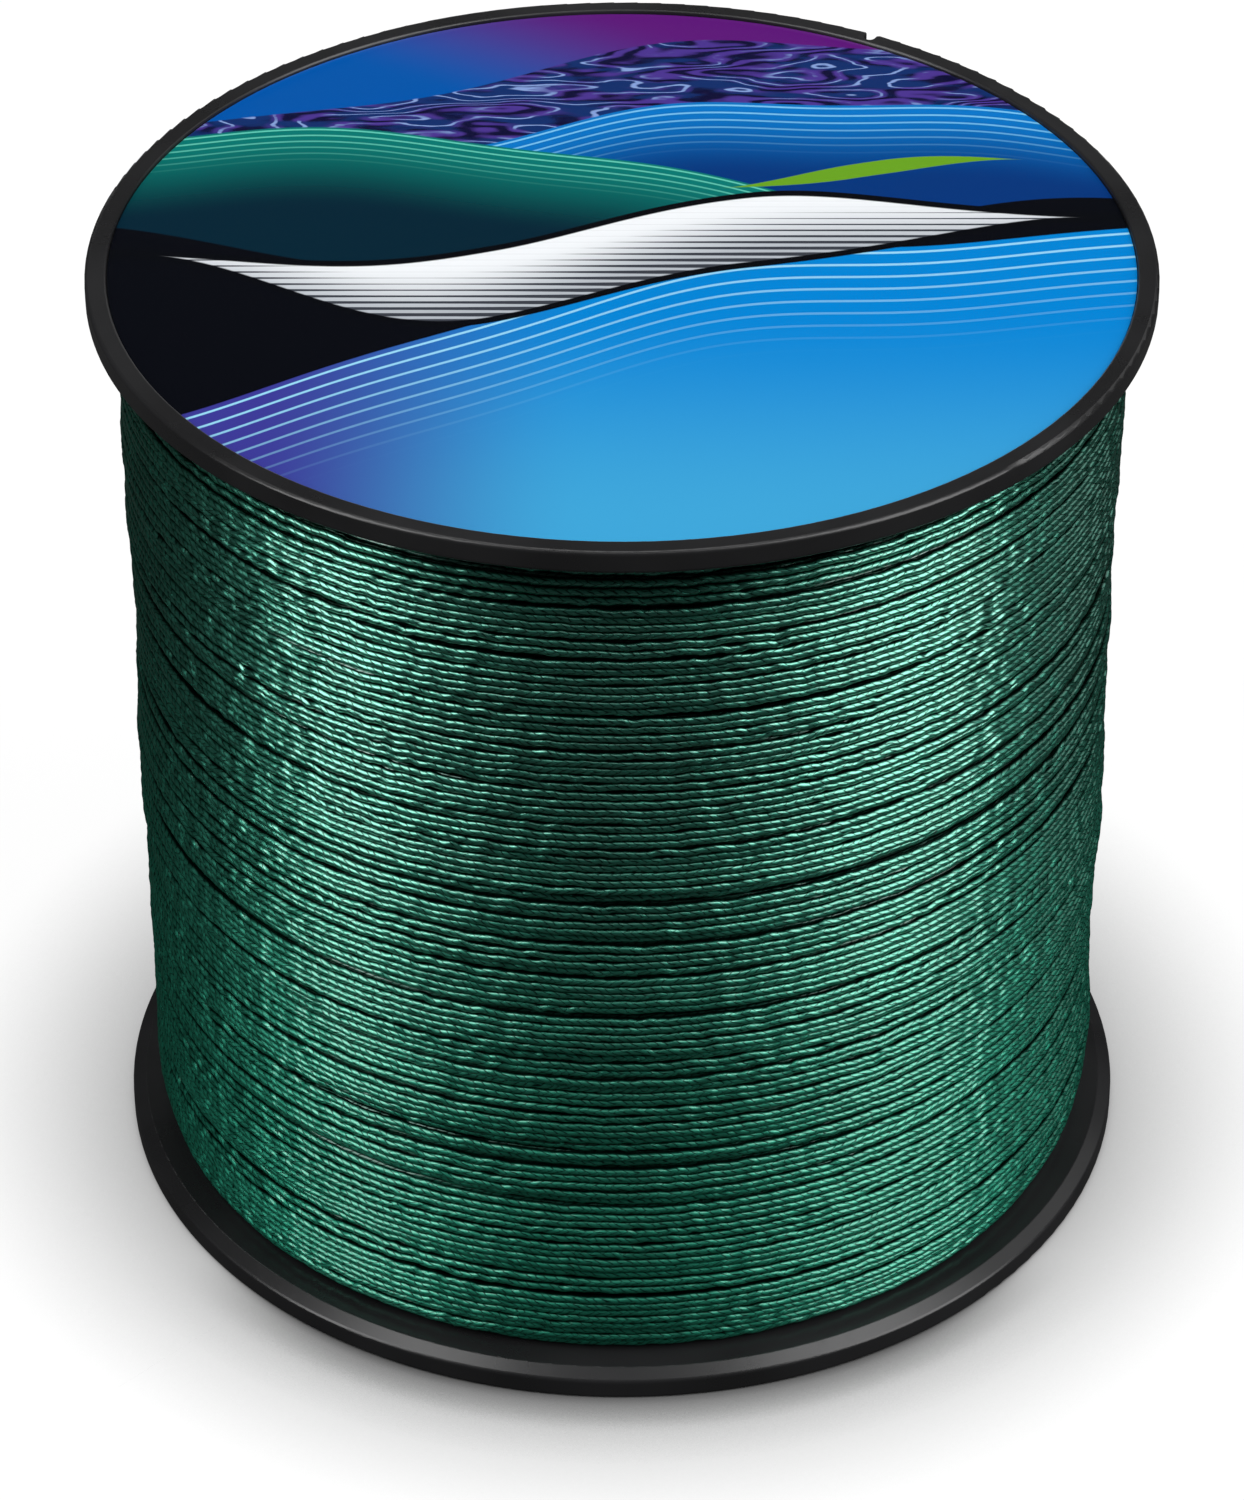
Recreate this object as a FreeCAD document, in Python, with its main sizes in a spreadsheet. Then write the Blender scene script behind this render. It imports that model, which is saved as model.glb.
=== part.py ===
import FreeCAD, Part

import math
import os
import re

import Sketcher
from FreeCAD import Placement, Rotation, Vector

# A free-standing spool of fishing line, in millimetres. It stands on its lower flange, its axis is +Z and
# its origin is the centre of its base. Two like flanges are pressed onto a barrel and an arbor tube, the
# line is wound on the barrel between them, and a round label lies in the upper flange's recess.

# Driving dimensions: name, size, meaning
DIMENSIONS = [
    ("overall_height", 103.0, "outer face to outer face of the two rims"),
    ("flange_diameter", 106.0, "over the rims"),
    ("rim_thickness", 3.0, "height of the rim, flush with the disc on the winding side"),
    ("rim_width", 2.1, "rim's outer side to the recess that it surrounds"),
    ("recess_depth", 0.6, "label recess below the rim's outer face"),
    ("bead_slope_width", 1.4, "slope between the winding side and the rim's outer side, in radius"),
    ("bead_slope_height", 0.8, "that slope, in height"),
    ("crown_radius", 0.4, "rounding of the rim's outer side at both ends"),
    ("rim_edge_radius", 0.25, "rounding of the rim's other edges"),
    ("notch_width", 1.2, "line notch through the rim"),
    ("notch_depth", 1.6, "line notch, from the rim's outer side"),
    ("notch_flare", 0.5, "widening of the notch's mouth on each side"),
    ("notch_azimuth", 60.0, "direction of both notches, in degrees from +X"),
    ("barrel_diameter", 44.0, "drum that the line is wound on"),
    ("barrel_wall", 2.0, "wall of the barrel"),
    ("spigot_wall", 1.8, "ring on the flange that centres the barrel"),
    ("spigot_height", 5.0, "that ring above the web"),
    ("arbor_bore_diameter", 10.4, "bore for a 10 mm spindle"),
    ("arbor_wall", 1.8, "wall of the arbor tube"),
    ("arbor_chamfer", 0.4, "chamfer at the bore's two mouths"),
    ("collar_wall", 2.0, "collar on the flange round the arbor tube"),
    ("collar_height", 6.0, "that collar above the web"),
    ("rib_count", 6, "ribs between collar and spigot"),
    ("rib_thickness", 1.5, "each rib"),
    ("rib_height", 3.5, "ribs above the web"),
    ("winding_diameter", 100.6, "over the outer layer of line"),
    ("outer_turn_diameter", 3.5, "tube that stands for the bunched outer turns"),
    ("outer_turn_count", 23, "whole turns of that tube"),
    ("turn_end_clearance", 0.25, "outer turns to the flanges"),
    ("layer_clearance", 0.05, "outer turns to the inner layers"),
    ("label_diameter", 101.6, "printed film label"),
    ("label_thickness", 0.2, "printed film label"),
    ("tape_width", 18.0, "tape that holds the line's inner end"),
    ("tape_thickness", 0.15, "that tape"),
    ("tape_arc", 70.0, "degrees of the barrel that the tape covers"),
    ("tape_height", 20.0, "lower edge of the tape above the base"),
]

# Formulas over the names above that several pieces share
FLANGE_RADIUS = "flange_diameter / 2"
WEB_FACE = "rim_thickness"
UPPER_WEB_FACE = "(overall_height - rim_thickness)"
HALF_WEB = "((rim_thickness - recess_depth) / 2)"
LABEL_SEAT = "(overall_height - recess_depth)"
BARREL_RADIUS = "barrel_diameter / 2"
BARREL_BORE = "(barrel_diameter / 2 - barrel_wall)"
SPIGOT_BORE = "(barrel_diameter / 2 - barrel_wall - spigot_wall)"
BORE_RADIUS = "arbor_bore_diameter / 2"
ARBOR_RADIUS = "(arbor_bore_diameter / 2 + arbor_wall)"
COLLAR_RADIUS = "(arbor_bore_diameter / 2 + arbor_wall + collar_wall)"
CORE_RADIUS = "(winding_diameter / 2 - outer_turn_diameter - layer_clearance)"
BEAD_EDGE = f"({FLANGE_RADIUS} - bead_slope_width)"
BEAD_FOOT = "(rim_thickness - bead_slope_height)"

RIB_OVERLAP = 0.6  # how far a rib's ends run into the collar and the spigot
NOTCH_OVERRUN = 1.0  # how far the notch's cut runs out past the rim
ARCS_PER_TURN = 4  # quarter turns, each a pair of tangent arcs
SAMPLES_PER_TURN = 120  # points on which the least gap is measured
LEAST_GAP = 0.4
EDGE_TOLERANCE = 1e-4
FULL_CIRCLE = 360.0
CUBIC_MM_PER_CM = 1000
PARTS_FOLDER = "parts"

doc = FreeCAD.newDocument("line_spool")
sheet = doc.addObject("Spreadsheet::Sheet", "Dimensions")


# The sheet of driving dimensions

def fill_sheet():
    """One row for each driving dimension: name, size and meaning."""
    for row, (name, size, meaning) in enumerate(DIMENSIONS, start=1):
        sheet.set(f"A{row}", name)
        sheet.set(f"B{row}", str(size))
        sheet.set(f"C{row}", meaning)
        sheet.setAlias(f"B{row}", name)
    doc.recompute()


def bound(formula):
    """The formula with each name in it pointing to its cell of the sheet."""
    return re.sub(r"[a-z]+(_[a-z]+)+", r"Dimensions.\g<0>", formula)


def value(formula):
    """The number that a formula over the sheet's names gives."""
    return float(sheet.evalExpression(bound(formula)))


# Sketches and features, each bound to the sheet

def origin_feature(body, role):
    """A plane or an axis of the body's own origin."""
    return next(item for item in body.Origin.OriginFeatures if item.Role == role)


def new_body(label):
    """An empty body that carries the name of its piece."""
    body = doc.addObject("PartDesign::Body", label)
    body.Label = label
    return body


def new_sketch(body, name, plane, height=None):
    """A sketch on one of the body's origin planes, raised along the plane's normal by a formula."""
    sketch = body.newObject("Sketcher::SketchObject", name)
    sketch.AttachmentSupport = [(origin_feature(body, plane), "")]
    sketch.MapMode = "FlatFace"
    if height is not None:
        sketch.setExpression(".AttachmentOffset.Base.z", bound(height))
    return sketch


def pin_point(sketch, geometry, corner, x_formula, y_formula):
    """Fix a sketch point at x and y; a coordinate of nought puts it on the axis."""
    axes = (("DistanceX", -2, x_formula), ("DistanceY", -1, y_formula))
    for kind, axis, formula in axes:
        size = value(formula)
        if abs(size) < EDGE_TOLERANCE:
            sketch.addConstraint(Sketcher.Constraint("PointOnObject", geometry, corner, axis))
            continue
        index = sketch.addConstraint(Sketcher.Constraint(kind, -1, 1, geometry, corner, size))
        sketch.setExpression(f"Constraints[{index}]", bound(formula))


def add_outline(sketch, corners):
    """A closed outline of straight lines through corners given as pairs of formulas."""
    places = [Vector(value(x), value(y), 0) for x, y in corners]
    count = len(places)
    for index in range(count):
        sketch.addGeometry(Part.LineSegment(places[index], places[(index + 1) % count]), False)
    for index in range(count):
        follower = (index + 1) % count
        sketch.addConstraint(Sketcher.Constraint("Coincident", index, 2, follower, 1))
        pin_point(sketch, index, 1, *corners[index])


def add_circle(sketch, radius_formula):
    """A circle about the origin."""
    radius = value(radius_formula)
    circle = sketch.addGeometry(Part.Circle(Vector(0, 0, 0), Vector(0, 0, 1), radius), False)
    sketch.addConstraint(Sketcher.Constraint("Coincident", circle, 3, -1, 1))
    index = sketch.addConstraint(Sketcher.Constraint("Radius", circle, radius))
    sketch.setExpression(f"Constraints[{index}]", bound(radius_formula))


def add_feature(body, kind, name, profile, **bindings):
    """A feature on a profile sketch, its properties bound to formulas."""
    feature = body.newObject(kind, name)
    feature.Profile = profile
    for name_of_property, formula in bindings.items():
        feature.setExpression(name_of_property, bound(formula))
    return feature


def ring_edges(shape, radius, height):
    """Names of the shape's full circles about the axis with this radius at this height."""
    found = []
    for index, edge in enumerate(shape.Edges, start=1):
        curve = edge.Curve
        if not isinstance(curve, Part.Circle):
            continue
        same_radius = abs(curve.Radius - radius) < EDGE_TOLERANCE
        same_height = abs(curve.Center.z - height) < EDGE_TOLERANCE
        if same_radius and same_height:
            found.append(f"Edge{index}")
    if not found:
        raise RuntimeError(f"no ring edge of radius {radius} at height {height}")
    return found


def round_rings(body, name, base, kind, size_property, size_formula, rings):
    """Round or chamfer ring edges given as pairs of formulas for radius and height."""
    edges = []
    for radius_formula, height_formula in rings:
        edges += ring_edges(base.Shape, value(radius_formula), value(height_formula))
    feature = body.newObject(kind, name)
    feature.Base = (base, edges)
    feature.setExpression(size_property, bound(size_formula))
    doc.recompute()
    return feature


def require_less(after, before, what):
    """Stop if a cut took nothing away."""
    if after.Volume >= before.Volume - EDGE_TOLERANCE:
        raise RuntimeError(f"{what} cuts nothing")


# Pieces made from tubes

def tube_body(label, outer, inner, bottom, top):
    """A plain tube about the axis between two heights."""
    body = new_body(label)
    sketch = new_sketch(body, label + "_section", "XY_Plane", bottom)
    add_circle(sketch, outer)
    add_circle(sketch, inner)
    pad = add_feature(body, "PartDesign::Pad", label + "_pad", sketch, Length=f"{top} - {bottom}")
    doc.recompute()
    return body, pad


def make_barrel():
    """Drum between the two webs, over the flanges' spigots."""
    body, _ = tube_body("barrel", BARREL_RADIUS, BARREL_BORE, WEB_FACE, UPPER_WEB_FACE)
    return body


def make_arbor_tube():
    """Tube through both flanges, flush with their recesses, chamfered at its two mouths."""
    body, pad = tube_body("arbor_tube", ARBOR_RADIUS, BORE_RADIUS, "recess_depth", LABEL_SEAT)
    mouths = [(BORE_RADIUS, "recess_depth"), (BORE_RADIUS, LABEL_SEAT)]
    round_rings(body, "arbor_mouths", pad, "PartDesign::Chamfer", "Size", "arbor_chamfer", mouths)
    return body


# The flange, drawn lying on its outer face with its notch towards +X

def flange_outline():
    """Half section of a flange: radius and height, from the arbor hole round by the rim."""
    recess_wall = f"({FLANGE_RADIUS} - rim_width)"
    spigot_top = f"({WEB_FACE} + spigot_height)"
    collar_top = f"({WEB_FACE} + collar_height)"
    return [
        (ARBOR_RADIUS, "recess_depth"),
        (recess_wall, "recess_depth"),
        (recess_wall, "0"),
        (FLANGE_RADIUS, "0"),
        (FLANGE_RADIUS, BEAD_FOOT),
        (BEAD_EDGE, WEB_FACE),
        (BARREL_BORE, WEB_FACE),
        (BARREL_BORE, spigot_top),
        (SPIGOT_BORE, spigot_top),
        (SPIGOT_BORE, WEB_FACE),
        (COLLAR_RADIUS, WEB_FACE),
        (COLLAR_RADIUS, collar_top),
        (ARBOR_RADIUS, collar_top),
    ]


def turn_flange(body, label):
    """The round of the flange: web, rim, spigot and collar."""
    section = new_sketch(body, label + "_section", "XZ_Plane")
    add_outline(section, flange_outline())
    turned = add_feature(body, "PartDesign::Revolution", label + "_disc", section)
    turned.ReferenceAxis = (section, ["V_Axis"])
    turned.Angle = FULL_CIRCLE
    doc.recompute()
    return turned


def round_rim(body, label, disc):
    """Round the rim: well at its outer side, slightly at its other edges."""
    crown = round_rings(
        body, label + "_crown", disc, "PartDesign::Fillet", "Radius", "crown_radius",
        [(FLANGE_RADIUS, "0"), (FLANGE_RADIUS, BEAD_FOOT)],
    )
    return round_rings(
        body, label + "_rim_edges", crown, "PartDesign::Fillet", "Radius", "rim_edge_radius",
        [(f"{FLANGE_RADIUS} - rim_width", "0"), (BEAD_EDGE, WEB_FACE)],
    )


def add_ribs(body, label):
    """Equal ribs between the collar and the spigot."""
    ribs_bottom = f"(recess_depth + {HALF_WEB})"
    inner_end = f"({COLLAR_RADIUS} - {RIB_OVERLAP})"
    outer_end = f"({SPIGOT_BORE} + {RIB_OVERLAP})"
    section = new_sketch(body, label + "_rib_section", "XY_Plane", ribs_bottom)
    add_outline(section, [
        (inner_end, "0 - rib_thickness / 2"),
        (outer_end, "0 - rib_thickness / 2"),
        (outer_end, "rib_thickness / 2"),
        (inner_end, "rib_thickness / 2"),
    ])
    rib = add_feature(
        body, "PartDesign::Pad", label + "_rib", section, Length=f"{HALF_WEB} + rib_height",
    )
    doc.recompute()
    pattern = body.newObject("PartDesign::PolarPattern", label + "_ribs")
    pattern.Originals = [rib]
    pattern.Axis = (section, ["N_Axis"])
    pattern.Angle = FULL_CIRCLE
    pattern.setExpression("Occurrences", bound("rib_count"))
    body.Tip = pattern
    doc.recompute()


def notch_corners():
    """The notch in plan, from the start of its round floor out by the flared mouth and back."""
    floor_centre = f"({FLANGE_RADIUS} - notch_depth + notch_width / 2)"
    flare_start = f"({FLANGE_RADIUS} - notch_flare)"
    outside = f"({FLANGE_RADIUS} + {NOTCH_OVERRUN})"
    half = "notch_width / 2"
    wide = f"(notch_width / 2 + notch_flare + {NOTCH_OVERRUN})"
    return [
        (floor_centre, f"0 - {half}"),
        (flare_start, f"0 - {half}"),
        (outside, f"0 - {wide}"),
        (outside, wide),
        (flare_start, half),
        (floor_centre, half),
    ]


def draw_notch(section):
    """Straight sides between the corners, closed by a half round floor."""
    corners = notch_corners()
    places = [Vector(value(x), value(y), 0) for x, y in corners]
    lines = len(places) - 1
    for index in range(lines):
        section.addGeometry(Part.LineSegment(places[index], places[index + 1]), False)
    floor = Vector(value(f"{FLANGE_RADIUS} - notch_depth"), 0, 0)
    floor_arc = section.addGeometry(Part.Arc(places[-1], floor, places[0]), False)
    for index in range(lines):
        section.addConstraint(Sketcher.Constraint("Coincident", index, 2, index + 1, 1))
        pin_point(section, index, 2, *corners[index + 1])
    section.addConstraint(Sketcher.Constraint("Coincident", floor_arc, 2, 0, 1))
    pin_point(section, 0, 1, *corners[0])
    centre = section.addConstraint(Sketcher.Constraint("DistanceX", -1, 1, floor_arc, 3, places[0].x))
    section.setExpression(f"Constraints[{centre}]", bound(corners[0][0]))


def cut_notch(body, label):
    """Round-bottomed notch for the line, cut through the rim, its mouth flared."""
    before = body.Shape.copy()
    section = new_sketch(body, label + "_notch_section", "XY_Plane")
    draw_notch(section)
    pocket = add_feature(body, "PartDesign::Pocket", label + "_notch", section)
    pocket.Type = "ThroughAll"
    pocket.SideType = "Symmetric"
    doc.recompute()
    require_less(body.Shape, before, label + "_notch")


def make_flange(label):
    """One flange moulding; both flanges of the spool come from it."""
    body = new_body(label)
    disc = turn_flange(body, label)
    round_rim(body, label, disc)
    add_ribs(body, label)
    cut_notch(body, label)
    return body


def make_flanges():
    """The lower flange as drawn, and the upper one turned over on top, with the notches in line."""
    to_notch = Rotation(Vector(0, 0, 1), value("notch_azimuth"))
    turned_over = Rotation(Vector(1, 0, 0), FULL_CIRCLE / 2)
    lower = make_flange("lower_flange")
    lower.Placement = Placement(Vector(0, 0, 0), to_notch)
    lower.setExpression(".Placement.Rotation.Angle", bound("notch_azimuth"))
    upper = make_flange("upper_flange")
    upper.Placement = Placement(Vector(0, 0, 0), to_notch.multiply(turned_over))
    upper.setExpression(".Placement.Base.z", bound("overall_height"))
    return [lower, upper]


# The tape and the line

def tape_outline():
    """Cross-section of the tape on the barrel: radius and height."""
    tape_top = "(tape_height + tape_width)"
    tape_face = f"({BARREL_RADIUS} + tape_thickness)"
    return [
        (BARREL_RADIUS, "tape_height"),
        (tape_face, "tape_height"),
        (tape_face, tape_top),
        (BARREL_RADIUS, tape_top),
    ]


def turn_tape(body, kind, name):
    """Turn the tape's section about the axis, as a solid or as the hollow that it leaves."""
    section = new_sketch(body, name + "_section", "XZ_Plane")
    add_outline(section, tape_outline())
    turned = add_feature(body, kind, name, section)
    turned.ReferenceAxis = (section, ["V_Axis"])
    turned.setExpression("Angle", bound("tape_arc"))
    doc.recompute()
    return turned


def make_anchor_tape():
    """Strip stuck round part of the barrel."""
    body = new_body("anchor_tape")
    turn_tape(body, "PartDesign::Revolution", "tape_strip")
    return body


def make_inner_layers():
    """Everything wound below the outer layer, from web to web, with the tape's hollow in its bore."""
    body, pad = tube_body("line_inner_layers", CORE_RADIUS, BARREL_RADIUS, WEB_FACE, UPPER_WEB_FACE)
    before = pad.Shape.copy()
    turn_tape(body, "PartDesign::Groove", "tape_hollow")
    require_less(body.Shape, before, "tape_hollow")
    return body


class Helix:
    """Centre line of the outer layer: even turns from just above the lower web to the upper one."""

    def __init__(self):
        wire = value("outer_turn_diameter")
        margin = wire / 2 + value("turn_end_clearance")
        self.radius = value("winding_diameter") / 2 - wire / 2
        self.bottom = value(WEB_FACE) + margin
        self.top = value(UPPER_WEB_FACE) - margin
        self.turns = int(value("outer_turn_count"))
        self.pitch = (self.top - self.bottom) / self.turns
        self.start_angle = math.radians(value("notch_azimuth"))

    def point(self, turn):
        """The point after this many turns, counted from the one below the notch."""
        angle = self.start_angle + 2 * math.pi * turn
        height = self.bottom + self.pitch * turn
        return Vector(self.radius * math.cos(angle), self.radius * math.sin(angle), height)

    def tangent(self, turn):
        """Unit direction of the line there."""
        angle = self.start_angle + 2 * math.pi * turn
        rise = self.pitch / (2 * math.pi)
        along = Vector(-self.radius * math.sin(angle), self.radius * math.cos(angle), rise)
        return along.normalize()


def arc_from_tangent(start, tangent, end, reach):
    """Arc from start to end; its end tangents cross at a distance of reach from both."""
    crossing = start + tangent * reach
    middle = (start + end) / 2
    to_crossing = crossing - middle
    half_chord = (end - start).Length / 2
    quarter_angle = math.atan2(to_crossing.Length, half_chord) / 2
    sagitta = half_chord * math.tan(quarter_angle)
    crown = middle + to_crossing.normalize() * sagitta
    return Part.Arc(start, crown, end).toShape()


def biarc(start, start_tangent, end, end_tangent):
    """Two arcs that leave start and reach end along the given directions."""
    span = end - start
    both = start_tangent + end_tangent
    square = 2 * (start_tangent.dot(end_tangent) - 1)
    linear = -2 * span.dot(both)
    constant = span.dot(span)
    root = math.sqrt(linear * linear - 4 * square * constant)
    reach = (-linear - root) / (2 * square)
    joint = (start + start_tangent * reach + end - end_tangent * reach) / 2
    joint_tangent = (joint - start - start_tangent * reach).normalize()
    first = arc_from_tangent(start, start_tangent, joint, reach)
    second = arc_from_tangent(joint, joint_tangent, end, reach)
    return [first, second]


def outer_layer_path(helix):
    """One unbroken wire: a straight end, the turns as tangent arcs, and a straight end."""
    straight = value("outer_turn_diameter")
    foot = helix.point(0) - helix.tangent(0) * straight
    edges = [Part.LineSegment(foot, helix.point(0)).toShape()]
    steps = helix.turns * ARCS_PER_TURN
    for step in range(steps):
        here = step / ARCS_PER_TURN
        there = (step + 1) / ARCS_PER_TURN
        edges += biarc(helix.point(here), helix.tangent(here), helix.point(there), helix.tangent(there))
    tail = helix.point(helix.turns) + helix.tangent(helix.turns) * straight
    edges.append(Part.LineSegment(helix.point(helix.turns), tail).toShape())
    return Part.Wire(edges)


def least_gap(path, helix):
    """Least distance between stretches of the tube that are at least half a turn apart."""
    count = helix.turns * SAMPLES_PER_TURN + 1
    points = path.discretize(Number=count)
    half_turn = SAMPLES_PER_TURN // 2
    nearest = min(
        points[index].distanceToPoint(other)
        for index in range(count)
        for other in points[index + half_turn:index + 3 * half_turn]
    )
    return nearest - value("outer_turn_diameter")


def make_outer_layer():
    """The outer turns as one tube wound over the inner layers."""
    helix = Helix()
    route = doc.addObject("Part::Feature", "outer_layer_route")
    route.Shape = outer_layer_path(helix)
    gap = least_gap(route.Shape, helix)
    print(f"outer layer: pitch {helix.pitch:.3f} mm, least gap to itself {gap:.3f} mm")
    if gap <= LEAST_GAP:
        raise RuntimeError("the outer turns come too close to each other")
    wire_section = doc.addObject("Part::Circle", "outer_layer_section")
    wire_section.setExpression("Radius", bound("outer_turn_diameter / 2"))
    foot = route.Shape.Edges[0].Vertexes[0].Point
    facing = Rotation(Vector(0, 0, 1), helix.tangent(0))
    wire_section.Placement = Placement(foot, facing)
    layer = doc.addObject("Part::Sweep", "line_outer_layer")
    layer.Label = "line_outer_layer"
    layer.Sections = [wire_section]
    layer.Spine = (route, [])
    layer.Solid = True
    layer.Frenet = False
    doc.recompute()
    section_area = math.pi * value("outer_turn_diameter") ** 2 / 4
    expected = section_area * route.Shape.Length
    print(f"outer layer: volume {layer.Shape.Volume:.0f} mm3, section times length {expected:.0f} mm3")
    return layer


# The label

def make_upper_label():
    """Round film label on the upper web, inside the recess."""
    label = doc.addObject("Part::Cylinder", "upper_label")
    label.Label = "upper_label"
    label.setExpression("Radius", bound("label_diameter / 2"))
    label.setExpression("Height", bound("label_thickness"))
    label.setExpression(".Placement.Base.z", bound(LABEL_SEAT))
    doc.recompute()
    return label


# Checks and files

def check_document():
    """Stop if any object failed to compute."""
    for item in doc.Objects:
        if "Invalid" in item.State or "Error" in item.State:
            raise RuntimeError(f"{item.Name} failed: {item.State}")


def check_piece(piece):
    """Stop unless the piece is one valid solid."""
    shape = piece.Shape
    if shape.isNull() or not shape.isValid() or len(shape.Solids) != 1:
        raise RuntimeError(f"{piece.Label} isn't one valid solid")
    if not shape.Solids[0].Volume > 0:
        raise RuntimeError(f"{piece.Label} has no volume")


def write_pieces(pieces):
    """Each piece to a file of its own name, once every one of them is sound."""
    os.makedirs(PARTS_FOLDER, exist_ok=True)
    check_document()
    for piece in pieces:
        check_piece(piece)
    for piece in pieces:
        piece.Shape.exportStep(os.path.join(PARTS_FOLDER, piece.Label + ".step"))
        box = piece.Shape.BoundBox
        print(
            f"{piece.Label}: {box.XLength:.2f} x {box.YLength:.2f} x {box.ZLength:.2f} mm, "
            f"z {box.ZMin:.2f} to {box.ZMax:.2f}, {piece.Shape.Volume / CUBIC_MM_PER_CM:.2f} cm3"
        )


fill_sheet()
spool_pieces = make_flanges()
spool_pieces.append(make_barrel())
spool_pieces.append(make_arbor_tube())
spool_pieces.append(make_anchor_tape())
spool_pieces.append(make_inner_layers())
spool_pieces.append(make_outer_layer())
spool_pieces.append(make_upper_label())
doc.recompute()
write_pieces(spool_pieces)
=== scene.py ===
"""Looks of a bulk spool of braided fishing line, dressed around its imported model."""
import math

import bpy
import numpy as np
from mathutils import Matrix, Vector


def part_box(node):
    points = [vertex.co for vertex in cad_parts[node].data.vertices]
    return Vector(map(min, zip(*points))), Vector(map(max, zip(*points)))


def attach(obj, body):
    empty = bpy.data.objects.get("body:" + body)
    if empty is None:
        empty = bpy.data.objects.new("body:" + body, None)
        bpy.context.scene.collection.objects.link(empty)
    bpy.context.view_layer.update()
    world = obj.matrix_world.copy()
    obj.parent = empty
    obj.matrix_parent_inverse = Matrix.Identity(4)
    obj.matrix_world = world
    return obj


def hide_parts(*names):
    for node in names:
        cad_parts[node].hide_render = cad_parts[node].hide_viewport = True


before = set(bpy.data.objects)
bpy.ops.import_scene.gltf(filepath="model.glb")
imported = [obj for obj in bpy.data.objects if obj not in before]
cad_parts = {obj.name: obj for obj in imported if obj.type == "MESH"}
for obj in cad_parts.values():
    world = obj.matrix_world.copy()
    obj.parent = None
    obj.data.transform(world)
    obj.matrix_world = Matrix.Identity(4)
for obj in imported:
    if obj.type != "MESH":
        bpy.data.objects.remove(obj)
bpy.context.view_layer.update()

MM = 0.001
BODY = "root"

# The camera, fitted to the two rims in the photograph.
CAMERA_PLACE = (0.0, -0.5004, 0.3998)
CAMERA_LOOKS_DOWN = math.radians(35.48)
CAMERA_LENS = 140.85
SENSOR_HEIGHT = 36.0

# The line's section. A lower roundness presses it flatter, as its own tension does.
LINE_HALF_WIDTH = 0.37 * MM
LINE_HALF_DEPTH = 0.44 * MM
ROUNDNESS = 0.72

# How close the turns lie, and how often and how far crowded turns are pushed apart.
TURN_SPACING = 0.955 * MM
LEAST_SPACING = 0.86 * MM
SPREADING_ROUNDS = 40
SPREADING_SHARE = 0.25

# The two layers of line: seeds, mesh steps and sides, and the turns that one piece holds.
OUTER_SEED = 11
STEPS_PER_TURN = 720
SIDES = 8
TURNS_PER_PIECE = 17
UNDER_SEED = 23
UNDER_STEPS_PER_TURN = 240
UNDER_SIDES = 6
UNDER_TURNS_PER_PIECE = 60
# The layer below is drawn in a darker copy of the line's colour: painted shade.
UNDER_PAINTED_SHADE = 0.25
STRIPS_PER_TURN = 2

# How deep the line lies: the layer's inset, the layer below, stretches that sink in, the turns that
# taper in beside the flanges, and the two ends, which dip under their neighbours behind the spool.
LAYER_INSET = 0.25 * MM
UNDER_DEPTH = 0.72 * MM
SINK_DEPTH = 0.6 * MM
SINK_FROM = 0.35
SINK_WAVELENGTH = 210 * MM
END_TAPER_DEPTH = 1.1 * MM
END_TAPER_HEIGHT = 7.0 * MM
START_ANGLE = math.radians(80)
TUCK_DEPTH = 1.2 * MM
TUCK_LENGTH = 30 * MM

# The winding's unevenness, up and down and in depth. Waves that turns share have a size, the turns
# from crest to crest and the waves round the spool. A turn's own waves have a size and a length.
SHARED_SHIFTS = ((0.11 * MM, 7.3, 1), (0.09 * MM, 4.1, -2), (0.07 * MM, 2.9, 1), (0.05 * MM, 2.3, 3))
OWN_SHIFTS = ((0.15 * MM, 290 * MM), (0.13 * MM, 90 * MM), (0.050 * MM, 22 * MM),
              (0.07 * MM, 5 * MM), (0.12 * MM, 2.4 * MM), (0.075 * MM, 1.3 * MM))
SHARED_DEPTHS = ((0.16 * MM, 43.0, 0), (0.10 * MM, 27.0, 1), (0.07 * MM, 9.0, -1))
OWN_DEPTHS = ((0.10 * MM, 130 * MM), (0.05 * MM, 18 * MM), (0.035 * MM, 1.3 * MM))

# The braid on the line: bundles that run round it both ways, their step along it in millimetres, how
# far that step strays, how far the braid turns round the line, and the height of its bundles. Every
# bundle runs over two others, cells 0 and 1 of each four, and then under two.
CARRIERS_EACH_WAY = 4.0
BRAID_PICK = 1.05
PICK_STRAY = 1.6
BRAID_TURN = 1.2
BRAID_RELIEF = 0.008 * MM
FIBRE_RELIEF = 0.15
BRAID_REPEAT = 4.0
LAST_CELL_OVER = 1.5

# The scales of the noises in the line's look.
STRAY_SCALE = 700.0
TURN_SCALE = 14.0
FIBRE_SCALE = 5200.0
DYE_SCALE = 160.0

# The line's colour, more saturated and duller towards the foot and paler at the top as a painted sheen, and
# the shares of it that are left as painted shade in the braid's grooves and on the sides of each turn.
LINE_COLOUR = (0.055, 0.35, 0.245)
LOW_COLOUR = (0.028, 0.32, 0.205)
LOW_END = 15 * MM
HIGH_END = 85 * MM
PALER = 1.15
DEEPER = 0.85
PAINTED_GROOVE_SHADE = 0.08
PAINTED_SIDE_SHADE = 0.05
GLOSS_TINT = (0.2, 0.9, 0.65, 1.0)
LEAST_ROUGH = 0.31
MOST_ROUGH = 0.38
ROUGHER_AT_FOOT = 0.16
WAX_AT_FOOT = 0.5

# The label's print, in shares of its radius: how soft its edges are, and the ribbon across it.
EDGE = 0.005
RIBBON_HALF_WIDTH = 0.125
RIBBON_OUTLINE = 0.022
RIBBON_FULL_AT = 0.25
RIBBON_ENDS_AT = 0.93
RIBBON_STRIPES = 44.0
LIME_HALF_WIDTH = 0.030
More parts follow.
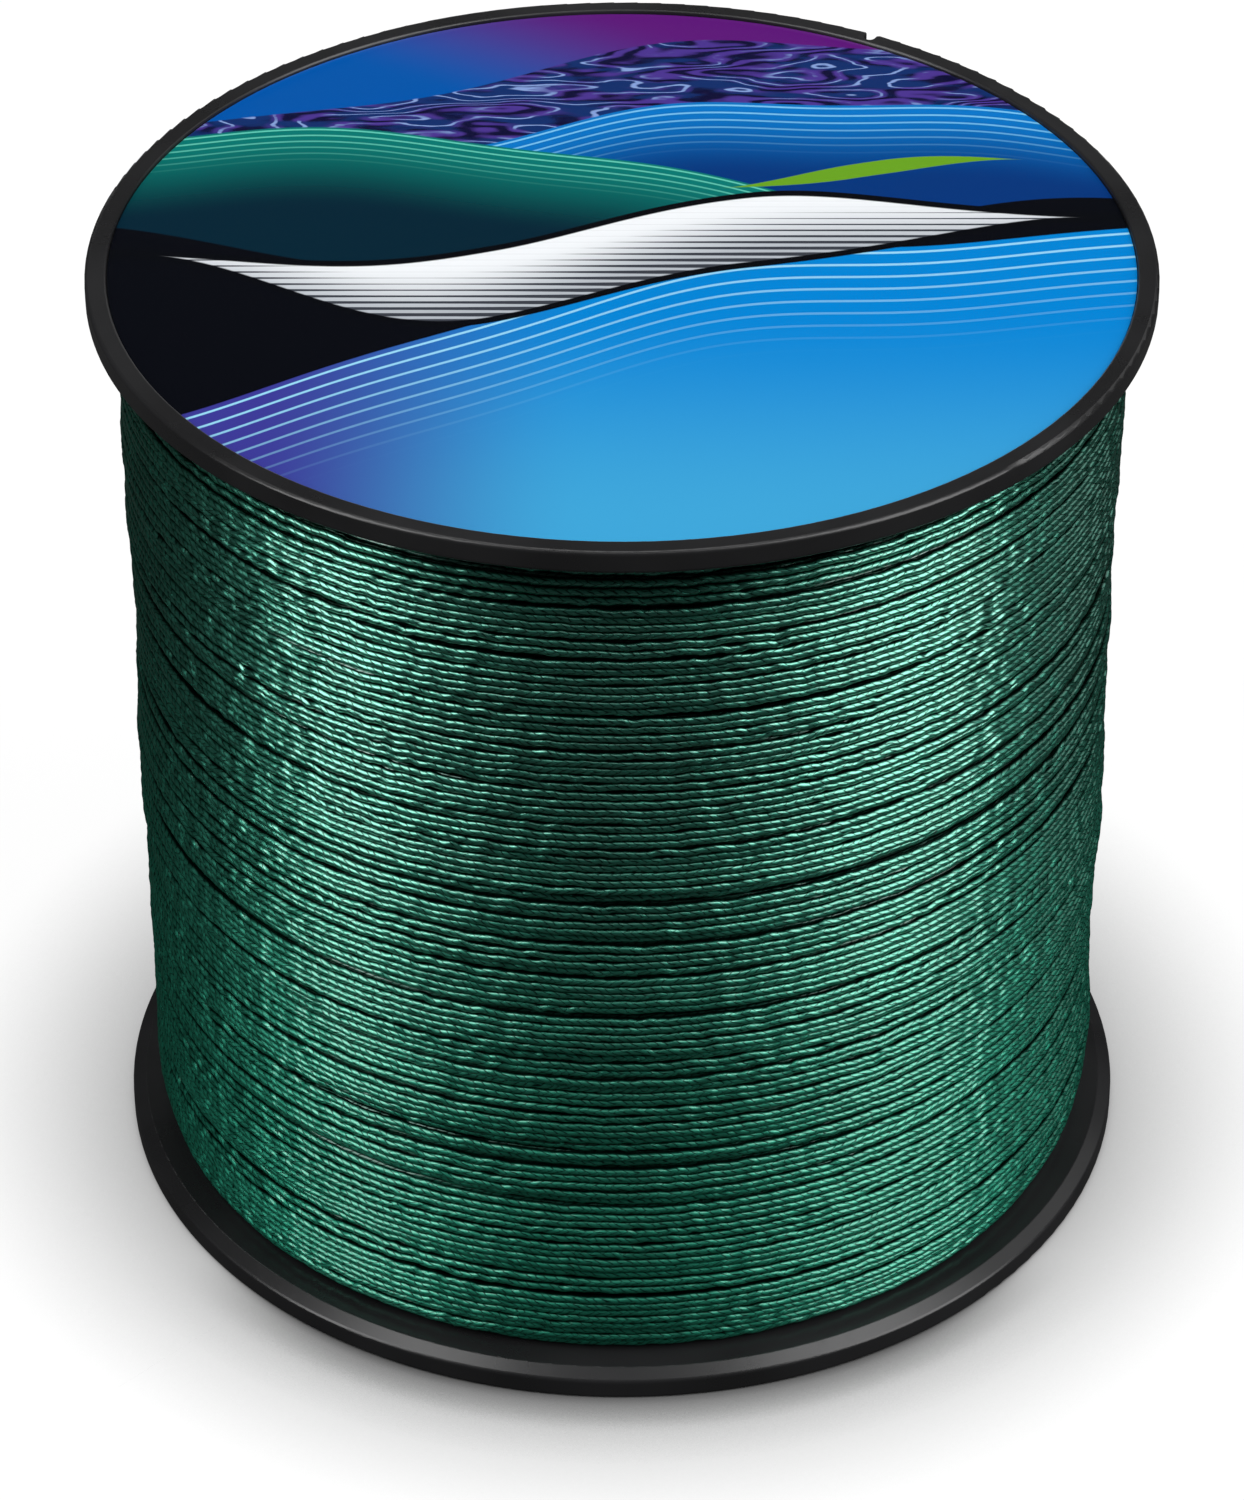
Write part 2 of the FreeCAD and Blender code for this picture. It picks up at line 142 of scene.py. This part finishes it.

# The floor: its grey in the light that it gives back and for the camera, and the glow that makes it
# white but for two painted shadows round the spool, a wide one and a tight one that is only in front.
FLOOR_HALF_SIZE = 6.0
FLOOR_UNSEEN = 0.04
FLOOR_SEEN = 0.12
FLOOR_GLOW = 0.915
WIDE_SHADOW = 26 * MM
WIDE_SHADOW_POWER = 1.6
TIGHT_SHADOW = 10 * MM
TIGHT_SHADOW_POWER = 5.0
FRONT_STARTS = -30 * MM
FRONT_FULL = -52 * MM

# The world's strength for the camera and for everything else.
WORLD_SEEN = 1.0
WORLD_UNSEEN = 0.016

# Soft lights: bearing from the viewer's side and elevation in degrees, distance, width and height in
# metres, and radiance.
LIGHTS = (
    ("left_softbox", -64, 36, 1.2, 0.48, 1.7, 5.0),
    ("right_softbox", 66, 36, 1.2, 0.80, 1.7, 4.15),
    ("top_softbox", 180, 74, 1.2, 0.50, 0.35, 2.8),
    ("front_softbox", 0, 64, 1.3, 0.40, 0.25, 1.4),
    ("right_fill", 118, 35, 1.3, 0.5, 1.0, 0.7),
    ("right_edge_light", 112, 62, 1.3, 0.5, 0.25, 1.0),
    ("left_edge_light", -112, 62, 1.3, 0.5, 0.25, 1.6),
    ("back_light", 180, 13, 1.3, 0.9, 0.25, 0.8),
)
LIGHTS_AIM = (0.0, 0.0, 0.05)

# The colour sockets of Blender's mix node, which have the same names as its number sockets.
MIX_FIRST, MIX_SECOND, MIX_RESULT = 6, 7, 2


def srgb(red, green, blue):
    """A colour of the photograph's scale, 0 to 255, as Blender's linear colour."""
    def linear(level):
        share = level / 255
        if share <= 0.04045:
            return share / 12.92
        return ((share + 0.055) / 1.055) ** 2.4
    return (linear(red), linear(green), linear(blue), 1.0)


def toned(colour, share):
    """This colour made darker or lighter."""
    return tuple(share * level for level in colour[:3]) + (1.0,)


class Nodes:
    """A material's node tree, with short calls for the nodes that this scene needs."""

    def __init__(self, name):
        self.material = bpy.data.materials.new(name)
        self.material.use_nodes = True
        self.tree = self.material.node_tree
        self.tree.nodes.clear()

    def add(self, kind, inputs=None, **settings):
        made = self.tree.nodes.new("ShaderNode" + kind)
        for name, setting in settings.items():
            setattr(made, name, setting)
        for name, given in (inputs or {}).items():
            self.feed(made.inputs[name], given)
        return made

    def feed(self, socket, given):
        """Links a socket to another node's output, or sets it to a number or colour."""
        if isinstance(given, bpy.types.NodeSocket):
            self.tree.links.new(given, socket)
        else:
            socket.default_value = given

    def math(self, operation, *numbers):
        made = self.add("Math", operation=operation)
        for socket, number in zip(made.inputs, numbers):
            self.feed(socket, number)
        return made.outputs[0]

    def ramp(self, number, low, high, to_low=0.0, to_high=1.0, curve="SMOOTHSTEP"):
        """The number taken from low..high to to_low..to_high, and held at the ends."""
        made = self.add("MapRange", {
            "Value": number, "From Min": low, "From Max": high,
            "To Min": to_low, "To Max": to_high,
        })
        made.interpolation_type = curve
        return made.outputs["Result"]

    def mix(self, share, first, second):
        made = self.add("Mix", data_type="RGBA")
        self.feed(made.inputs["Factor"], share)
        self.feed(made.inputs[MIX_FIRST], first)
        self.feed(made.inputs[MIX_SECOND], second)
        return made.outputs[MIX_RESULT]

    def noise(self, place, scale, detail=2.0, roughness=0.5):
        made = self.add("TexNoise", {
            "Vector": place, "Scale": scale, "Detail": detail, "Roughness": roughness,
        })
        return made.outputs["Fac"]

    def place(self):
        """Where the point is in the row frame, in metres."""
        return self.add("TexCoord").outputs["Object"]

    def apart(self, vector):
        made = self.add("SeparateXYZ", {"Vector": vector})
        return made.outputs["X"], made.outputs["Y"], made.outputs["Z"]

    def bump(self, height, distance):
        return self.add("Bump", {"Height": height, "Distance": distance}).outputs["Normal"]

    def surface(self, colour, roughness, normal, **more):
        """The finished material. What else it needs is given under the shader's own names."""
        shader = self.add("BsdfPrincipled", {
            "Base Color": colour, "Roughness": roughness, "Normal": normal,
        })
        for name, given in more.items():
            self.feed(shader.inputs[name.replace("_", " ")], given)
        output = self.add("OutputMaterial")
        self.feed(output.inputs["Surface"], shader.outputs["BSDF"])
        return self.material


def wandering(random, places, wavelength):
    """A smooth random curve between about -1 and 1 at these places along the line."""
    at = places / (wavelength / 2)
    knots = random.uniform(-1, 1, int(at.max()) + 5)
    index = at.astype(int)
    share = at - index
    before, start, end, after = (knots[index + step] for step in range(4))
    return start + 0.5 * share * (
        end - before
        + share * (2 * before - 5 * start + 4 * end - after + share * (3 * (start - end) + after - before))
    )


def unevenness(random, turns, angles, along, shared, own):
    """Waves that neighbouring turns share, and waves of each turn's own."""
    total = np.zeros_like(turns)
    for size, spacing, around in shared:
        total += size * np.sin(2 * np.pi * turns / spacing + around * angles + random.uniform(0, 2 * np.pi))
    for size, wavelength in own:
        total += size * wandering(random, along, wavelength)
    return total


def spread_turns(heights, steps_per_turn):
    """Moves each turn off the one below where they would lie in each other."""
    for _ in range(SPREADING_ROUNDS):
        short = LEAST_SPACING - (heights[steps_per_turn:] - heights[:-steps_per_turn])
        push = SPREADING_SHARE * np.maximum(short, 0)
        heights[steps_per_turn:] += push
        heights[:-steps_per_turn] -= push
    return heights


def winding_route(seed, steps_per_turn, depth, hand):
    """Angle, radius and height of every ring of one wound layer, and how far along the line it is."""
    random = np.random.default_rng(seed)
    low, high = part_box("line_inner_layers")
    bottom = low.z + LINE_HALF_WIDTH
    top = high.z - LINE_HALF_WIDTH
    turn_count = int((top - bottom) / TURN_SPACING)
    turns = np.arange(turn_count * steps_per_turn + 1) / steps_per_turn
    angles = START_ANGLE + hand * 2 * np.pi * turns
    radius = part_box("line_outer_layer")[1].x - LINE_HALF_DEPTH - depth
    along = turns * 2 * np.pi * radius

    shift = unevenness(random, turns, angles, along, SHARED_SHIFTS, OWN_SHIFTS)
    middle = bottom + (top - bottom) * turns / turn_count
    heights = spread_turns(np.clip(middle + shift, bottom, top), steps_per_turn)

    swell = unevenness(random, turns, angles, along, SHARED_DEPTHS, OWN_DEPTHS)
    sunk = np.clip(wandering(random, along, SINK_WAVELENGTH) - SINK_FROM, 0, 1)
    to_flange = np.minimum(heights - low.z, high.z - heights)
    taper = np.clip(1 - to_flange / END_TAPER_HEIGHT, 0, 1) ** 2
    tuck = np.clip(1 - np.minimum(along, along[-1] - along) / TUCK_LENGTH, 0, 1) ** 2
    inward = LAYER_INSET + SINK_DEPTH * sunk + END_TAPER_DEPTH * taper + TUCK_DEPTH * tuck
    return angles, radius + swell - inward, heights, along


def squarer(wave):
    """A sine or cosine wave raised towards its ends, which gives the line flatter faces."""
    return np.sign(wave) * np.abs(wave) ** ROUNDNESS


def tube_mesh(name, angles, radii, heights, sides):
    """A closed tube round this stretch of the winding, and the ring and side of each of its quads."""
    rings = len(angles)
    round_tube = 2 * np.pi * np.arange(sides) / sides
    outward = radii[:, None] + LINE_HALF_DEPTH * squarer(np.cos(round_tube))
    points = np.empty((rings, sides, 3))
    points[:, :, 0] = outward * np.cos(angles)[:, None]
    points[:, :, 1] = outward * np.sin(angles)[:, None]
    points[:, :, 2] = heights[:, None] + LINE_HALF_WIDTH * squarer(np.sin(round_tube))

    ring, side = np.divmod(np.arange((rings - 1) * sides), sides)
    beside = (side + 1) % sides
    corners = np.stack([
        ring * sides + side,
        (ring + 1) * sides + side,
        (ring + 1) * sides + beside,
        ring * sides + beside,
    ], 1)
    if angles[-1] < angles[0]:
        corners = corners[:, ::-1]
    first_end = np.arange(sides)
    last_end = (rings - 1) * sides + np.arange(sides)
    faces = corners.tolist() + [first_end.tolist(), last_end[::-1].tolist()]
    mesh = bpy.data.meshes.new(name)
    mesh.from_pydata(points.reshape(-1, 3).tolist(), [], faces)
    mesh.shade_smooth()
    return mesh, ring, side


def add_line_maps(mesh, ring, side, along, sides, steps_per_turn, hand):
    """Line: metres along the line and the share round it. OFBake: the same laid out in strips."""
    loops = len(mesh.loops)
    line_map = np.zeros((loops, 2))
    bake_map = np.zeros((loops, 2))
    ring_steps = np.array([0, 1, 1, 0])
    side_steps = np.array([0, 0, 1, 1])
    if hand < 0:
        ring_steps, side_steps = ring_steps[::-1], side_steps[::-1]
    rings = ring[:, None] + ring_steps
    shares = (side[:, None] + side_steps) / sides
    quads = rings.size
    line_map[:quads, 0] = along[rings].ravel()
    line_map[:quads, 1] = shares.ravel()
    steps_per_strip = steps_per_turn // STRIPS_PER_TURN
    strips = math.ceil((len(along) - 1) / steps_per_strip)
    strip = ring[:, None] // steps_per_strip
    bake_map[:quads, 0] = ((rings - strip * steps_per_strip) / steps_per_strip).ravel()
    bake_map[:quads, 1] = ((strip + shares) / strips).ravel()
    for layer, values in (("Line", line_map), ("OFBake", bake_map)):
        mesh.uv_layers.new(name=layer).data.foreach_set("uv", values.ravel())


def wound_pieces(name, material, seed, steps_per_turn, sides, depth, hand, turns_per_piece):
    """One layer of the line, cut into pieces of whole turns to keep each mesh small."""
    angles, radii, heights, along = winding_route(seed, steps_per_turn, depth, hand)
    steps = turns_per_piece * steps_per_turn
    pieces = []
    for number, start in enumerate(range(0, len(angles) - 1, steps)):
        part = slice(start, start + steps + 1)
        label = f"{name}_{number + 1}"
        mesh, ring, side = tube_mesh(label, angles[part], radii[part], heights[part], sides)
        add_line_maps(mesh, ring, side, along[part], sides, steps_per_turn, hand)
        mesh.materials.append(material)
        piece = bpy.data.objects.new(label, mesh)
        bpy.context.scene.collection.objects.link(piece)
        pieces.append(piece)
    return pieces


def braid_ridges(nodes, along, around, place):
    """Two rows of slanting bundles that pass over each other in turn, 0 in the grooves to 1 on top."""
    stray = nodes.math("MULTIPLY", nodes.noise(place, STRAY_SCALE), PICK_STRAY)
    along_mm = nodes.math("MULTIPLY_ADD", along, 1 / MM, stray)
    pick = nodes.math("DIVIDE", along_mm, BRAID_PICK)
    only_along = nodes.add("CombineXYZ", {"X": along}).outputs["Vector"]
    turned = nodes.math("MULTIPLY_ADD", nodes.noise(only_along, TURN_SCALE), BRAID_TURN, around)
    carriers = nodes.math("MULTIPLY", turned, CARRIERS_EACH_WAY)
    one_way = nodes.math("ADD", carriers, pick)
    other_way = nodes.math("SUBTRACT", carriers, pick)

    def ridge(way):
        return nodes.math("ABSOLUTE", nodes.math("SINE", nodes.math("MULTIPLY", way, math.pi)))

    cells = nodes.math("ADD", nodes.math("FLOOR", one_way), nodes.math("FLOOR", other_way))
    over = nodes.math("LESS_THAN", nodes.math("FLOORED_MODULO", cells, BRAID_REPEAT), LAST_CELL_OVER)
    under = nodes.math("SUBTRACT", 1.0, over)
    return nodes.math("ADD", nodes.math("MULTIPLY", ridge(one_way), over),
                      nodes.math("MULTIPLY", ridge(other_way), under))


# The share passed in darkens the whole colour; below 1 it is painted shade, used for the layer below.
def braided_line(name, painted_shade_share):
    """Tight braid of glossy fibre, with painted shade in the grooves between its bundles and on the sides
    of each turn.
    """
    nodes = Nodes(name)
    along, around, _ = nodes.apart(nodes.add("UVMap", uv_map="Line").outputs["UV"])
    place = nodes.place()
    top_ridge = braid_ridges(nodes, along, around, place)
    fibres = nodes.noise(place, FIBRE_SCALE)
    dye = nodes.noise(place, DYE_SCALE, 3.0)

    up = nodes.ramp(nodes.apart(place)[2], LOW_END, HIGH_END)
    # Paler towards the top: a painted sheen that whitens the line's reflections there.
    pale = nodes.mix(up, toned(LOW_COLOUR, PALER * painted_shade_share), toned(LINE_COLOUR, PALER * painted_shade_share))
    deep = nodes.mix(up, toned(LOW_COLOUR, DEEPER * painted_shade_share), toned(LINE_COLOUR, DEEPER * painted_shade_share))
    colour = nodes.mix(nodes.ramp(dye, 0.3, 0.7), deep, pale)
    colour = nodes.mix(nodes.ramp(fibres, 0.35, 0.65), colour, deep)
    # Painted shade: the braid's grooves are darkened in the colour.
    grooves = toned(LINE_COLOUR, PAINTED_GROOVE_SHADE * painted_shade_share)
    colour = nodes.mix(nodes.ramp(top_ridge, 0.05, 0.6), grooves, colour)
    # Painted shade: the colour darkens on the upper and lower sides of each turn, away from its outer face.
    outward = nodes.math("COSINE", nodes.math("MULTIPLY", around, 2 * math.pi))
    painted_side_shade = toned(LINE_COLOUR, PAINTED_SIDE_SHADE * painted_shade_share)
    colour = nodes.mix(nodes.ramp(outward, 0.0, 0.75), painted_side_shade, colour)

    dulled = nodes.math("MULTIPLY", nodes.math("SUBTRACT", 1.0, up), ROUGHER_AT_FOOT)
    roughness = nodes.math("ADD", nodes.ramp(fibres, 0.3, 0.7, LEAST_ROUGH, MOST_ROUGH), dulled)
    wax_left = nodes.math("MULTIPLY_ADD", up, 1 - WAX_AT_FOOT, WAX_AT_FOOT)
    wax = nodes.math("MULTIPLY", nodes.ramp(top_ridge, 0.05, 0.5), wax_left)
    normal = nodes.bump(nodes.math("MULTIPLY_ADD", fibres, FIBRE_RELIEF, top_ridge), BRAID_RELIEF)
    tangent = nodes.add("Tangent", direction_type="UV_MAP", uv_map="Line").outputs["Tangent"]
    return nodes.surface(colour, roughness, normal, Tangent=tangent, Metallic=0.98,
                         Specular_Tint=GLOSS_TINT, Anisotropic=0.45, Anisotropic_Rotation=0.25,
                         Coat_Weight=wax, Coat_Roughness=0.2, Coat_IOR=1.8)


def moulded_plastic(name, colour, roughness, grain):
    """Moulded plastic: a fine grain, a slow unevenness in its gloss and dust-fine scuffs."""
    nodes = Nodes(name)
    place = nodes.place()
    fine = nodes.noise(place, 2600.0, 3.0)
    slow = nodes.noise(place, 60.0)
    scuffs = nodes.noise(place, 420.0, 6.0, 0.65)
    shade = nodes.mix(nodes.ramp(slow, 0.35, 0.65), colour, toned(colour, 1.5))
    worn = nodes.math("ADD", nodes.math("MULTIPLY", slow, 0.08), nodes.ramp(scuffs, 0.55, 0.75, 0.0, 0.06))
    return nodes.surface(shade, nodes.math("ADD", worn, roughness), nodes.bump(fine, grain))


def wave_line(nodes, across, level, slope, waves):
    """The height of a swell's crest line over the label, from its level, slope and sine waves."""
    total = nodes.math("MULTIPLY_ADD", across, slope, level)
    for size, rate, start in waves:
        wave = nodes.math("SINE", nodes.math("MULTIPLY_ADD", across, rate, start))
        total = nodes.math("MULTIPLY_ADD", wave, size, total)
    return total


def contour_lines(nodes, depth, spacing, width, reach):
    """Thin lines that follow a crest, fading out this far below it."""
    beside = nodes.math("PINGPONG", nodes.math("ADD", depth, spacing / 2), spacing / 2)
    thin = nodes.ramp(beside, width, width * 0.4)
    return nodes.math("MULTIPLY", thin, nodes.ramp(depth, reach, 0.0))


def laid_over(nodes, behind, depth, colour):
    """A swell of this colour over what lies behind it, from its crest line down."""
    return nodes.mix(nodes.ramp(depth, 0.0, EDGE), behind, colour)


def marbled(nodes, place):
    """Folded swirls of indigo and violet with pale veins, as in marbled paper."""
    drawn_out = nodes.add("Mapping", {
        "Vector": place, "Rotation": (0.0, 0.0, 0.5), "Scale": (1.0, 3.2, 1.0),
    }).outputs["Vector"]
    swirl = nodes.noise(drawn_out, 42.0, 2.5)
    fine = nodes.noise(drawn_out, 150.0, 3.0)
    folds = nodes.math("SINE", nodes.math("MULTIPLY_ADD", swirl, 96.0, nodes.math("MULTIPLY", fine, 5.0)))
    colour = nodes.mix(nodes.ramp(folds, -0.9, 0.7), srgb(12, 12, 52), srgb(74, 52, 140))
    colour = nodes.mix(nodes.ramp(fine, 0.42, 0.62), colour, srgb(18, 46, 104))
    veins = nodes.math("MULTIPLY", nodes.ramp(folds, 0.80, 1.0), nodes.ramp(fine, 0.40, 0.58))
    return nodes.mix(veins, colour, srgb(132, 158, 214))


def striped_ribbon(nodes, across, back, colour):
    """A silver ribbon over the print: dark edges, and stripes that thicken towards its lower side."""
    middle = wave_line(nodes, across, 0.035, 0.10, ((0.085, 3.6, -0.4), (0.03, 6.4, 1.0)))
    narrowed = nodes.ramp(nodes.math("ABSOLUTE", across), RIBBON_ENDS_AT, RIBBON_FULL_AT)
    half_width = nodes.math("MULTIPLY", narrowed, RIBBON_HALF_WIDTH)
    beside = nodes.math("SUBTRACT", back, middle)
    inside = nodes.math("SUBTRACT", half_width, nodes.math("ABSOLUTE", beside))
    outlined = nodes.ramp(inside, -RIBBON_OUTLINE, EDGE - RIBBON_OUTLINE)
    colour = nodes.mix(outlined, colour, srgb(4, 6, 12))
    stripe_rise = nodes.math("PINGPONG", nodes.math("MULTIPLY", back, RIBBON_STRIPES), 0.5)
    lower_share = nodes.ramp(beside, 0.06, -0.11, 0.0, 0.30, "LINEAR")
    dark = nodes.ramp(nodes.math("SUBTRACT", lower_share, stripe_rise), -0.03, 0.03)
    silver = nodes.mix(nodes.ramp(beside, -0.10, 0.10), srgb(176, 182, 190), srgb(240, 243, 246))
    silver = nodes.mix(dark, silver, srgb(58, 62, 70))
    return nodes.mix(nodes.ramp(inside, 0.0, EDGE), colour, silver)


def lime_stroke(nodes, across, back, colour):
    """A small green stroke, pointed at both ends."""
    line = wave_line(nodes, across, 0.325, 0.02, ((0.055, 5.2, -2.2),))
    swollen = nodes.math("MULTIPLY", nodes.ramp(across, 0.16, 0.46), nodes.ramp(across, 0.84, 0.52))
    beside = nodes.math("ABSOLUTE", nodes.math("SUBTRACT", line, back))
    inside = nodes.math("SUBTRACT", nodes.math("MULTIPLY", swollen, LIME_HALF_WIDTH), beside)
    return nodes.mix(nodes.ramp(inside, 0.0, EDGE), colour, srgb(104, 160, 34))


def swells_behind(nodes, below, place, colour):
    """A marbled swell, a blue one and a green one, each in front of the last."""
    marbled_swell = below(0.74, 0.10, (0.12, 3.0, 0.9), (0.02, 8.0, 1.0))
    colour = laid_over(nodes, colour, marbled_swell, marbled(nodes, place))

    far = below(0.52, 0.10, (0.085, 3.4, 0.7), (0.02, 9.0, 1.1))
    swell = nodes.mix(nodes.ramp(far, 0.30, 0.0), srgb(3, 52, 120), srgb(8, 116, 196))
    lines = contour_lines(nodes, far, spacing=0.030, width=0.0045, reach=0.22)
    swell = nodes.mix(lines, swell, srgb(120, 196, 236))
    colour = laid_over(nodes, colour, far, swell)

    middle = below(0.34, -0.16, (0.09, 2.8, 2.6), (0.018, 8.0, 0.3))
    swell = nodes.mix(nodes.ramp(middle, 0.32, 0.0), srgb(2, 36, 52), srgb(8, 118, 110))
    lines = contour_lines(nodes, middle, spacing=0.024, width=0.004, reach=0.16)
    swell = nodes.mix(lines, swell, srgb(96, 202, 180))
    return laid_over(nodes, colour, middle, swell)


def swells_in_front(nodes, below, across, back, colour):
    """A dark swell, and a broad one in front of it that turns from indigo to azure."""
    near = below(0.10, 0.02, (0.11, 2.5, -0.9), (0.02, 7.0, 2.0))
    colour = laid_over(nodes, colour, near, srgb(4, 6, 14))

    front = below(-0.16, 0.36, (0.10, 3.0, 1.2), (0.015, 8.5, 0.0))
    swell = nodes.mix(nodes.ramp(back, -0.95, -0.15), srgb(60, 160, 210), srgb(0, 128, 206))
    swell = nodes.mix(nodes.ramp(across, -0.05, -0.70), swell, srgb(58, 56, 146))
    lines = contour_lines(nodes, front, spacing=0.045, width=0.0055, reach=0.40)
    swell = nodes.mix(lines, swell, srgb(150, 214, 242))
    return laid_over(nodes, colour, front, swell)


def printed_film(name):
    """Glossy film printed with a plain pattern of sea swells, from violet at the back to azure in front."""
    nodes = Nodes(name)
    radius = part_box("upper_label")[1].x
    place = nodes.place()
    x, y, _ = nodes.apart(place)
    across = nodes.math("DIVIDE", x, radius)
    back = nodes.math("DIVIDE", y, radius)

    def below(level, slope, *waves):
        """How far a point lies in front of a swell's crest line."""
        return nodes.math("SUBTRACT", wave_line(nodes, across, level, slope, waves), back)

    tilt = nodes.math("MULTIPLY_ADD", across, 0.60, back)
    colour = nodes.mix(nodes.ramp(tilt, 0.45, 1.0), srgb(0, 84, 168), srgb(92, 22, 118))
    colour = swells_behind(nodes, below, place, colour)
    colour = swells_in_front(nodes, below, across, back, colour)
    colour = lime_stroke(nodes, across, back, colour)
    colour = striped_ribbon(nodes, across, back, colour)
    ripple = nodes.noise(place, 750.0)
    return nodes.surface(colour, 0.2, nodes.bump(ripple, 0.006 * MM))


def tape_material(name):
    """Matt paper tape with fine creases."""
    nodes = Nodes(name)
    creases = nodes.noise(nodes.place(), 300.0, 4.0)
    colour = nodes.mix(nodes.ramp(creases, 0.35, 0.65), srgb(214, 206, 184), srgb(226, 220, 200))
    return nodes.surface(colour, 0.6, nodes.bump(creases, 0.03 * MM))


def dress(node, material):
    """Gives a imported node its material."""
    mesh_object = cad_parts[node]
    if not mesh_object.material_slots:
        mesh_object.data.materials.append(None)
    for material_slot in mesh_object.material_slots:
        material_slot.material = material


def make_winding():
    """The last layer of line and the one below it, wound the other way."""
    outer_material = braided_line("braided_line", 1.0)
    # The layer below: the line's material darkened as painted shade.
    under_material = braided_line("braided_line_below_painted_shade", UNDER_PAINTED_SHADE)
    layers = wound_pieces("line_turns", outer_material, OUTER_SEED, STEPS_PER_TURN, SIDES,
                          depth=0.0, hand=1, turns_per_piece=TURNS_PER_PIECE)
    layers += wound_pieces("line_turns_below", under_material, UNDER_SEED, UNDER_STEPS_PER_TURN,
                           UNDER_SIDES, depth=UNDER_DEPTH, hand=-1,
                           turns_per_piece=UNDER_TURNS_PER_PIECE)
    for piece in layers:
        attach(piece, BODY)
        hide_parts("line_outer_layer")
    dress("line_inner_layers", outer_material)


def floor_material(name):
    """White for the camera but for the spool's shadow, real in its grey and painted in its glow, and dark
    grey for the light that it gives back.
    """
    nodes = Nodes(name)
    seen = nodes.add("LightPath").outputs["Is Camera Ray"]
    grey = nodes.mix(seen, (FLOOR_UNSEEN,) * 3 + (1.0,), (FLOOR_SEEN,) * 3 + (1.0,))
    diffuse = nodes.add("BsdfDiffuse", {"Color": grey})
    # Ambient occlusion darkens the glow near the spool: a painted shadow, tighter in front.
    wide = nodes.add("AmbientOcclusion", {"Distance": WIDE_SHADOW}, samples=16).outputs["AO"]
    tight = nodes.add("AmbientOcclusion", {"Distance": TIGHT_SHADOW}, samples=8).outputs["AO"]
    in_front = nodes.ramp(nodes.apart(nodes.place())[1], FRONT_STARTS, FRONT_FULL)
    wide_light = nodes.math("POWER", wide, WIDE_SHADOW_POWER)
    tight_light = nodes.math("POWER", tight, nodes.math("MULTIPLY", in_front, TIGHT_SHADOW_POWER))
    painted_shadow_glow = nodes.math("MULTIPLY", nodes.math("MULTIPLY", wide_light, tight_light), FLOOR_GLOW)
    glow = nodes.add("Emission", {"Color": (1, 1, 1, 1), "Strength": nodes.math("MULTIPLY", seen, painted_shadow_glow)})
    both = nodes.add("AddShader")
    nodes.feed(both.inputs[0], diffuse.outputs[0])
    nodes.feed(both.inputs[1], glow.outputs[0])
    output = nodes.add("OutputMaterial")
    nodes.feed(output.inputs["Surface"], both.outputs[0])
    return nodes.material


def make_floor():
    """A wide floor that the spool stands on."""
    half = FLOOR_HALF_SIZE
    corners = [(-half, -half, 0), (half, -half, 0), (half, half, 0), (-half, half, 0)]
    mesh = bpy.data.meshes.new("floor")
    mesh.from_pydata(corners, [], [(0, 1, 2, 3)])
    mesh.materials.append(floor_material("floor_white"))
    floor = bpy.data.objects.new("floor", mesh)
    bpy.context.scene.collection.objects.link(floor)


def make_world():
    """White for the camera, and nearly dark for everything else."""
    world = bpy.data.worlds.new("studio")
    bpy.context.scene.world = world
    world.use_nodes = True
    tree = world.node_tree
    tree.nodes.clear()
    seen = tree.nodes.new("ShaderNodeLightPath").outputs["Is Camera Ray"]
    strength = tree.nodes.new("ShaderNodeMapRange")
    tree.links.new(seen, strength.inputs["Value"])
    strength.inputs["To Min"].default_value = WORLD_UNSEEN
    strength.inputs["To Max"].default_value = WORLD_SEEN
    background = tree.nodes.new("ShaderNodeBackground")
    tree.links.new(strength.outputs["Result"], background.inputs["Strength"])
    output = tree.nodes.new("ShaderNodeOutputWorld")
    tree.links.new(background.outputs["Background"], output.inputs["Surface"])


def softbox(name, azimuth, elevation, distance, width, height, radiance):
    """A soft light at this bearing from the viewer's side, turned to the spool."""
    light = bpy.data.lights.new(name, "AREA")
    light.shape = "RECTANGLE"
    light.size = width
    light.size_y = height
    light.energy = radiance * math.pi * width * height
    lamp = bpy.data.objects.new(name, light)
    bpy.context.scene.collection.objects.link(lamp)
    turn, rise = math.radians(azimuth), math.radians(elevation)
    away = Vector((math.sin(turn) * math.cos(rise), -math.cos(turn) * math.cos(rise), math.sin(rise)))
    lamp.location = Vector(LIGHTS_AIM) + away * distance
    lamp.rotation_euler = away.to_track_quat("Z", "Y").to_euler()


def make_camera():
    camera = bpy.data.cameras.new("camera")
    camera.sensor_fit = "VERTICAL"
    camera.sensor_height = SENSOR_HEIGHT
    camera.lens = CAMERA_LENS
    seat = bpy.data.objects.new("camera", camera)
    seat.location = CAMERA_PLACE
    seat.rotation_euler = (math.pi / 2 - CAMERA_LOOKS_DOWN, 0, 0)
    bpy.context.scene.collection.objects.link(seat)
    bpy.context.scene.camera = seat


make_camera()
black = moulded_plastic("flange_plastic", srgb(28, 28, 29), roughness=0.24, grain=0.001 * MM)
dull = moulded_plastic("drum_plastic", srgb(30, 30, 31), roughness=0.5, grain=0.004 * MM)
dress("upper_flange", black)
dress("lower_flange", black)
dress("barrel", dull)
dress("arbor_tube", dull)
dress("anchor_tape", tape_material("anchor_tape"))
dress("upper_label", printed_film("label_print"))
make_winding()
make_floor()
make_world()
for light in LIGHTS:
    softbox(*light)
bpy.context.scene.view_settings.view_transform = "Standard"
